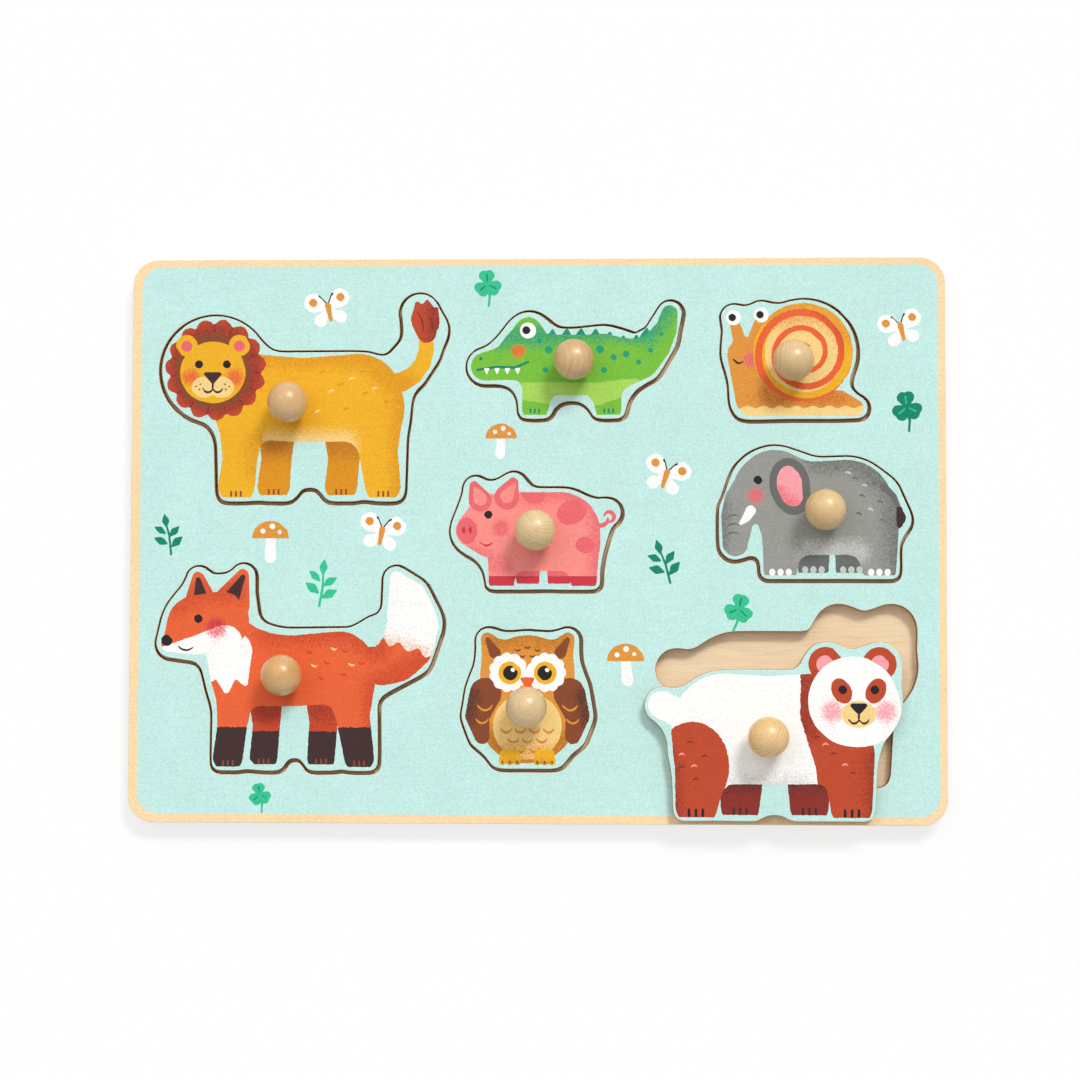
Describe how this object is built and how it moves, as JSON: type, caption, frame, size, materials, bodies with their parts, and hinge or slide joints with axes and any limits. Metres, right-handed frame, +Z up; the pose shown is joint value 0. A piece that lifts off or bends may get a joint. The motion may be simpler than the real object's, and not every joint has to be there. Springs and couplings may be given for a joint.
{
  "type": "wooden knob puzzle",
  "caption": "Wooden knob puzzle: a printed board with animal-shaped pieces that lift out of their cut-outs by round turned knobs; one piece lies beside its empty cut-out.",
  "frame": {"origin": "centre of the board's underside, on the surface that the puzzle lies on", "axes": "+X along the board's length, to the right of the picture; +Y up the picture; +Z up, out of the printed face"},
  "size_m": [0.3, 0.208, 0.0277],
  "materials": {
    "plywood": "sanded birch plywood",
    "printed_sheet": "pale green print on plywood, satin",
    "lion_print": "print on plywood, satin",
    "fox_print": "print on plywood, satin",
    "crocodile_print": "print on plywood, satin",
    "snail_print": "print on plywood, satin",
    "pig_print": "print on plywood, satin",
    "elephant_print": "print on plywood, satin",
    "owl_print": "print on plywood, satin",
    "bear_print": "print on plywood, satin",
    "knob_wood": "turned hardwood, satin lacquer",
    "screw_steel": "zinc plated"
  },
  "bodies": {
    "board": {"back_board": "plywood", "face_plate": "printed_sheet"},
    "lion": {"lion_piece": "lion_print", "lion_knob": "knob_wood", "lion_screw": "screw_steel"},
    "fox": {"fox_piece": "fox_print", "fox_knob": "knob_wood", "fox_screw": "screw_steel"},
    "crocodile": {"crocodile_piece": "crocodile_print", "crocodile_knob": "knob_wood", "crocodile_screw": "screw_steel"},
    "snail": {"snail_piece": "snail_print", "snail_knob": "knob_wood", "snail_screw": "screw_steel"},
    "pig": {"pig_piece": "pig_print", "pig_knob": "knob_wood", "pig_screw": "screw_steel"},
    "elephant": {"elephant_piece": "elephant_print", "elephant_knob": "knob_wood", "elephant_screw": "screw_steel"},
    "owl": {"owl_piece": "owl_print", "owl_knob": "knob_wood", "owl_screw": "screw_steel"},
    "bear": {"bear_piece": "bear_print", "bear_knob": "knob_wood", "bear_screw": "screw_steel"}
  },
  "joints": [
    {"name": "lion_lift", "type": "slide", "parent": "board", "child": "lion", "axis": [0, 0, 1], "range_m": [0, 0.04]},
    {"name": "fox_lift", "type": "slide", "parent": "board", "child": "fox", "axis": [0, 0, 1], "range_m": [0, 0.04]},
    {"name": "crocodile_lift", "type": "slide", "parent": "board", "child": "crocodile", "axis": [0, 0, 1], "range_m": [0, 0.04]},
    {"name": "snail_lift", "type": "slide", "parent": "board", "child": "snail", "axis": [0, 0, 1], "range_m": [0, 0.04]},
    {"name": "pig_lift", "type": "slide", "parent": "board", "child": "pig", "axis": [0, 0, 1], "range_m": [0, 0.04]},
    {"name": "elephant_lift", "type": "slide", "parent": "board", "child": "elephant", "axis": [0, 0, 1], "range_m": [0, 0.04]},
    {"name": "owl_lift", "type": "slide", "parent": "board", "child": "owl", "axis": [0, 0, 1], "range_m": [0, 0.04]},
    {"name": "bear_lift", "type": "slide", "parent": "board", "child": "bear", "axis": [0, 0, 1], "range_m": [0, 0.04]}
  ]
}
